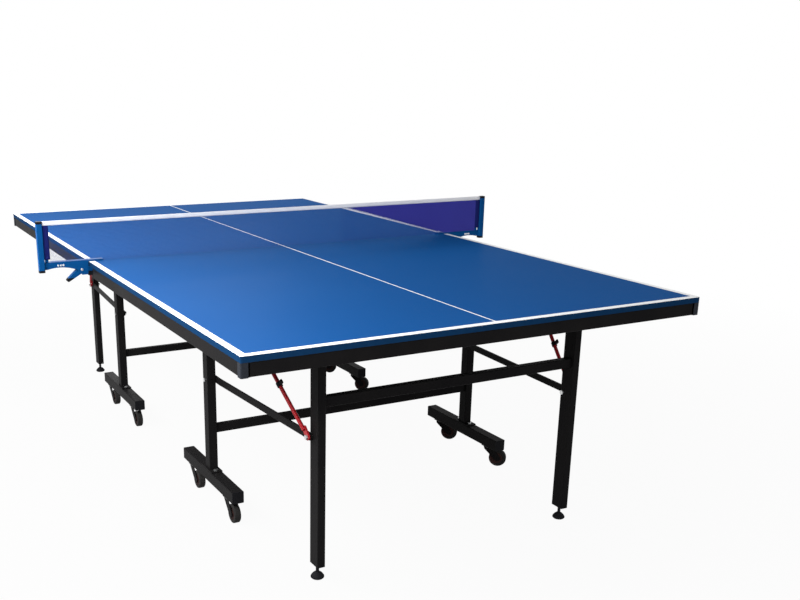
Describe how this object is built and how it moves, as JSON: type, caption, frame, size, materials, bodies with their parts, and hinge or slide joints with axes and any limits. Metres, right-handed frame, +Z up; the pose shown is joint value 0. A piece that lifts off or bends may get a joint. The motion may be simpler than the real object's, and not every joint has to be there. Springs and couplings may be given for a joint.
{
  "type": "table tennis table",
  "caption": "Full-size folding table tennis table: each half folds upright on its own rolling trolley, end legs fold with it, and a clamped net spans the middle.",
  "frame": {"origin": "on the floor under the middle of the table", "axes": "+X along the table towards the near half, +Y across it, +Z up"},
  "size_m": [2.74, 1.878, 0.91],
  "materials": {
    "blue_board": "matte painted playing surface",
    "frame_black": "satin black powder coat",
    "black_plastic": "moulded, fine grain",
    "zinc": "bright zinc plate",
    "red_paint": "glossy red paint",
    "wheel_rubber": "grey-black moulded tread",
    "net_blue_paint": "glossy blue paint",
    "net_mesh": "knotted netting",
    "white_tape": "woven tape"
  },
  "bodies": {
    "near_trolley": {"near_trolley_frame": "frame_black", "near_foot_beams": "frame_black", "near_beam_caps": "black_plastic", "near_trolley_hardware": "zinc"},
    "near_top": {"near_board": "blue_board", "near_apron": "frame_black", "near_corner_guards": "black_plastic", "near_top_brackets": "frame_black"},
    "near_legs": {"near_leg_frame": "frame_black", "near_leg_plugs": "black_plastic", "near_leg_hardware": "zinc"},
    "near_left_link": {"near_left_link": "frame_black"},
    "near_left_strut": {"near_left_strut": "red_paint"},
    "near_left_release": {"near_left_release": "black_plastic"},
    "near_left_foot": {"near_left_foot": "black_plastic"},
    "near_left_inner_fork": {"near_left_inner_fork": "black_plastic"},
    "near_left_inner_wheel": {"near_left_inner_wheel": "wheel_rubber"},
    "near_left_outer_fork": {"near_left_outer_fork": "black_plastic"},
    "near_left_outer_wheel": {"near_left_outer_wheel": "wheel_rubber"},
    "near_right_link": {"near_right_link": "frame_black"},
    "near_right_strut": {"near_right_strut": "red_paint"},
    "near_right_release": {"near_right_release": "black_plastic"},
    "near_right_foot": {"near_right_foot": "black_plastic"},
    "near_right_inner_fork": {"near_right_inner_fork": "black_plastic"},
    "near_right_inner_wheel": {"near_right_inner_wheel": "wheel_rubber"},
    "near_right_outer_fork": {"near_right_outer_fork": "black_plastic"},
    "near_right_outer_wheel": {"near_right_outer_wheel": "wheel_rubber"},
    "far_trolley": {"far_trolley_frame": "frame_black", "far_foot_beams": "frame_black", "far_beam_caps": "black_plastic", "far_trolley_hardware": "zinc"},
    "far_top": {"far_board": "blue_board", "far_apron": "frame_black", "far_corner_guards": "black_plastic", "far_top_brackets": "frame_black", "net_brackets": "net_blue_paint", "net_caps": "black_plastic", "net": "net_mesh", "net_tape": "white_tape"},
    "far_legs": {"far_leg_frame": "frame_black", "far_leg_plugs": "black_plastic", "far_leg_hardware": "zinc"},
    "far_left_link": {"far_left_link": "frame_black"},
    "far_left_strut": {"far_left_strut": "red_paint"},
    "far_left_release": {"far_left_release": "black_plastic"},
    "far_left_foot": {"far_left_foot": "black_plastic"},
    "far_left_inner_fork": {"far_left_inner_fork": "black_plastic"},
    "far_left_inner_wheel": {"far_left_inner_wheel": "wheel_rubber"},
    "far_left_outer_fork": {"far_left_outer_fork": "black_plastic"},
    "far_left_outer_wheel": {"far_left_outer_wheel": "wheel_rubber"},
    "far_right_link": {"far_right_link": "frame_black"},
    "far_right_strut": {"far_right_strut": "red_paint"},
    "far_right_release": {"far_right_release": "black_plastic"},
    "far_right_foot": {"far_right_foot": "black_plastic"},
    "far_right_inner_fork": {"far_right_inner_fork": "black_plastic"},
    "far_right_inner_wheel": {"far_right_inner_wheel": "wheel_rubber"},
    "far_right_outer_fork": {"far_right_outer_fork": "black_plastic"},
    "far_right_outer_wheel": {"far_right_outer_wheel": "wheel_rubber"},
    "net_left_lever": {"net_left_lever": "net_blue_paint"},
    "net_right_lever": {"net_right_lever": "net_blue_paint"}
  },
  "joints": [
    {"name": "near_fold", "type": "hinge", "parent": "near_trolley", "child": "near_top", "pos_m": [0.5175, 0, 0.71], "axis": [0, -1, 0], "range_deg": [0, 85]},
    {"name": "near_leg_fold", "type": "hinge", "parent": "near_top", "child": "near_legs", "pos_m": [1.151, 0, 0.71], "axis": [0, -1, 0], "range_deg": [-86, 0]},
    {"name": "near_left_link_turn", "type": "hinge", "parent": "near_trolley", "child": "near_left_link", "pos_m": [0.5175, -0.5015, 0.435], "axis": [0, -1, 0], "range_deg": [0, 86]},
    {"name": "near_left_strut_turn", "type": "hinge", "parent": "near_legs", "child": "near_left_strut", "pos_m": [1.151, -0.474, 0.435], "axis": [0, -1, 0], "range_deg": [0, 134.2]},
    {"name": "near_left_release_slide", "type": "slide", "parent": "near_left_strut", "child": "near_left_release", "axis": [0.7219, 0.148, -0.676], "range_m": [0, 0.012], "stiffness_N_per_m": 400, "springref_m": -0.004},
    {"name": "near_left_foot_screw", "type": "slide", "parent": "near_legs", "child": "near_left_foot", "axis": [0, 0, -1], "range_m": [-0.008, 0.01]},
    {"name": "near_left_inner_swivel", "type": "hinge", "parent": "near_trolley", "child": "near_left_inner_fork", "pos_m": [0.3575, -0.521, 0.07], "axis": [0, 0, 1], "continuous": true},
    {"name": "near_left_inner_spin", "type": "hinge", "parent": "near_left_inner_fork", "child": "near_left_inner_wheel", "pos_m": [0.3925, -0.521, 0.032], "axis": [0, 1, 0], "continuous": true},
    {"name": "near_left_outer_swivel", "type": "hinge", "parent": "near_trolley", "child": "near_left_outer_fork", "pos_m": [0.6775, -0.521, 0.07], "axis": [0, 0, 1], "continuous": true},
    {"name": "near_left_outer_spin", "type": "hinge", "parent": "near_left_outer_fork", "child": "near_left_outer_wheel", "pos_m": [0.7125, -0.521, 0.032], "axis": [0, 1, 0], "continuous": true},
    {"name": "near_right_link_turn", "type": "hinge", "parent": "near_trolley", "child": "near_right_link", "pos_m": [0.5175, 0.5015, 0.435], "axis": [0, -1, 0], "range_deg": [0, 86]},
    {"name": "near_right_strut_turn", "type": "hinge", "parent": "near_legs", "child": "near_right_strut", "pos_m": [1.151, 0.474, 0.435], "axis": [0, -1, 0], "range_deg": [0, 134.2]},
    {"name": "near_right_release_slide", "type": "slide", "parent": "near_right_strut", "child": "near_right_release", "axis": [0.7219, -0.148, -0.676], "range_m": [0, 0.012], "stiffness_N_per_m": 400, "springref_m": -0.004},
    {"name": "near_right_foot_screw", "type": "slide", "parent": "near_legs", "child": "near_right_foot", "axis": [0, 0, -1], "range_m": [-0.008, 0.01]},
    {"name": "near_right_inner_swivel", "type": "hinge", "parent": "near_trolley", "child": "near_right_inner_fork", "pos_m": [0.3575, 0.521, 0.07], "axis": [0, 0, 1], "continuous": true},
    {"name": "near_right_inner_spin", "type": "hinge", "parent": "near_right_inner_fork", "child": "near_right_inner_wheel", "pos_m": [0.38, 0.54781, 0.032], "axis": [-0.766, 0.6428, 0], "continuous": true},
    {"name": "near_right_outer_swivel", "type": "hinge", "parent": "near_trolley", "child": "near_right_outer_fork", "pos_m": [0.6775, 0.521, 0.07], "axis": [0, 0, 1], "continuous": true},
    {"name": "near_right_outer_spin", "type": "hinge", "parent": "near_right_outer_fork", "child": "near_right_outer_wheel", "pos_m": [0.7, 0.54781, 0.032], "axis": [-0.766, 0.6428, 0], "continuous": true},
    {"name": "far_roll", "type": "slide", "parent": "near_trolley", "child": "far_trolley", "axis": [-1, 0, 0], "range_m": [0, 0.32]},
    {"name": "far_fold", "type": "hinge", "parent": "far_trolley", "child": "far_top", "pos_m": [-0.5175, 0, 0.71], "axis": [0, 1, 0], "range_deg": [0, 85]},
    {"name": "far_leg_fold", "type": "hinge", "parent": "far_top", "child": "far_legs", "pos_m": [-1.151, 0, 0.71], "axis": [0, 1, 0], "range_deg": [-86, 0]},
    {"name": "far_left_link_turn", "type": "hinge", "parent": "far_trolley", "child": "far_left_link", "pos_m": [-0.5175, -0.5015, 0.435], "axis": [0, 1, 0], "range_deg": [0, 86]},
    {"name": "far_left_strut_turn", "type": "hinge", "parent": "far_legs", "child": "far_left_strut", "pos_m": [-1.151, -0.474, 0.435], "axis": [0, 1, 0], "range_deg": [0, 134.2]},
    {"name": "far_left_release_slide", "type": "slide", "parent": "far_left_strut", "child": "far_left_release", "axis": [-0.7219, 0.148, -0.676], "range_m": [0, 0.012], "stiffness_N_per_m": 400, "springref_m": -0.004},
    {"name": "far_left_foot_screw", "type": "slide", "parent": "far_legs", "child": "far_left_foot", "axis": [0, 0, -1], "range_m": [-0.008, 0.01]},
    {"name": "far_left_inner_swivel", "type": "hinge", "parent": "far_trolley", "child": "far_left_inner_fork", "pos_m": [-0.3575, -0.521, 0.07], "axis": [0, 0, 1], "continuous": true},
    {"name": "far_left_inner_spin", "type": "hinge", "parent": "far_left_inner_fork", "child": "far_left_inner_wheel", "pos_m": [-0.3225, -0.521, 0.032], "axis": [0, 1, 0], "continuous": true},
    {"name": "far_left_outer_swivel", "type": "hinge", "parent": "far_trolley", "child": "far_left_outer_fork", "pos_m": [-0.6775, -0.521, 0.07], "axis": [0, 0, 1], "continuous": true},
    {"name": "far_left_outer_spin", "type": "hinge", "parent": "far_left_outer_fork", "child": "far_left_outer_wheel", "pos_m": [-0.6425, -0.521, 0.032], "axis": [0, 1, 0], "continuous": true},
    {"name": "far_right_link_turn", "type": "hinge", "parent": "far_trolley", "child": "far_right_link", "pos_m": [-0.5175, 0.5015, 0.435], "axis": [0, 1, 0], "range_deg": [0, 86]},
    {"name": "far_right_strut_turn", "type": "hinge", "parent": "far_legs", "child": "far_right_strut", "pos_m": [-1.151, 0.474, 0.435], "axis": [0, 1, 0], "range_deg": [0, 134.2]},
    {"name": "far_right_release_slide", "type": "slide", "parent": "far_right_strut", "child": "far_right_release", "axis": [-0.7219, -0.148, -0.676], "range_m": [0, 0.012], "stiffness_N_per_m": 400, "springref_m": -0.004},
    {"name": "far_right_foot_screw", "type": "slide", "parent": "far_legs", "child": "far_right_foot", "axis": [0, 0, -1], "range_m": [-0.008, 0.01]},
    {"name": "far_right_inner_swivel", "type": "hinge", "parent": "far_trolley", "child": "far_right_inner_fork", "pos_m": [-0.3575, 0.521, 0.07], "axis": [0, 0, 1], "continuous": true},
    {"name": "far_right_inner_spin", "type": "hinge", "parent": "far_right_inner_fork", "child": "far_right_inner_wheel", "pos_m": [-0.335, 0.54781, 0.032], "axis": [-0.766, 0.6428, 0], "continuous": true},
    {"name": "far_right_outer_swivel", "type": "hinge", "parent": "far_trolley", "child": "far_right_outer_fork", "pos_m": [-0.6775, 0.521, 0.07], "axis": [0, 0, 1], "continuous": true},
    {"name": "far_right_outer_spin", "type": "hinge", "parent": "far_right_outer_fork", "child": "far_right_outer_wheel", "pos_m": [-0.655, 0.54781, 0.032], "axis": [-0.766, 0.6428, 0], "continuous": true},
    {"name": "net_left_clamp", "type": "hinge", "parent": "far_top", "child": "net_left_lever", "pos_m": [-0.0145, -0.7895, 0.733], "axis": [-1, 0, 0], "range_deg": [0, 22], "stiffness_Nm_per_rad": 3, "springref_deg": -11.46},
    {"name": "net_right_clamp", "type": "hinge", "parent": "far_top", "child": "net_right_lever", "pos_m": [-0.0145, 0.7895, 0.733], "axis": [1, 0, 0], "range_deg": [0, 22], "stiffness_Nm_per_rad": 3, "springref_deg": -11.46}
  ],
  "couplings": [
    {"joint": "near_leg_fold", "follows": "near_fold", "ratio": -1},
    {"joint": "near_left_link_turn", "follows": "near_fold", "ratio": 1},
    {"joint": "near_left_strut_turn", "follows": "near_fold", "ratio": 1.5671},
    {"joint": "near_right_link_turn", "follows": "near_fold", "ratio": 1},
    {"joint": "near_right_strut_turn", "follows": "near_fold", "ratio": 1.5671},
    {"joint": "far_roll", "follows": "far_fold", "m_per_rad": 0.2},
    {"joint": "far_leg_fold", "follows": "far_fold", "ratio": -1},
    {"joint": "far_left_link_turn", "follows": "far_fold", "ratio": 1},
    {"joint": "far_left_strut_turn", "follows": "far_fold", "ratio": 1.5671},
    {"joint": "far_right_link_turn", "follows": "far_fold", "ratio": 1},
    {"joint": "far_right_strut_turn", "follows": "far_fold", "ratio": 1.5671}
  ]
}
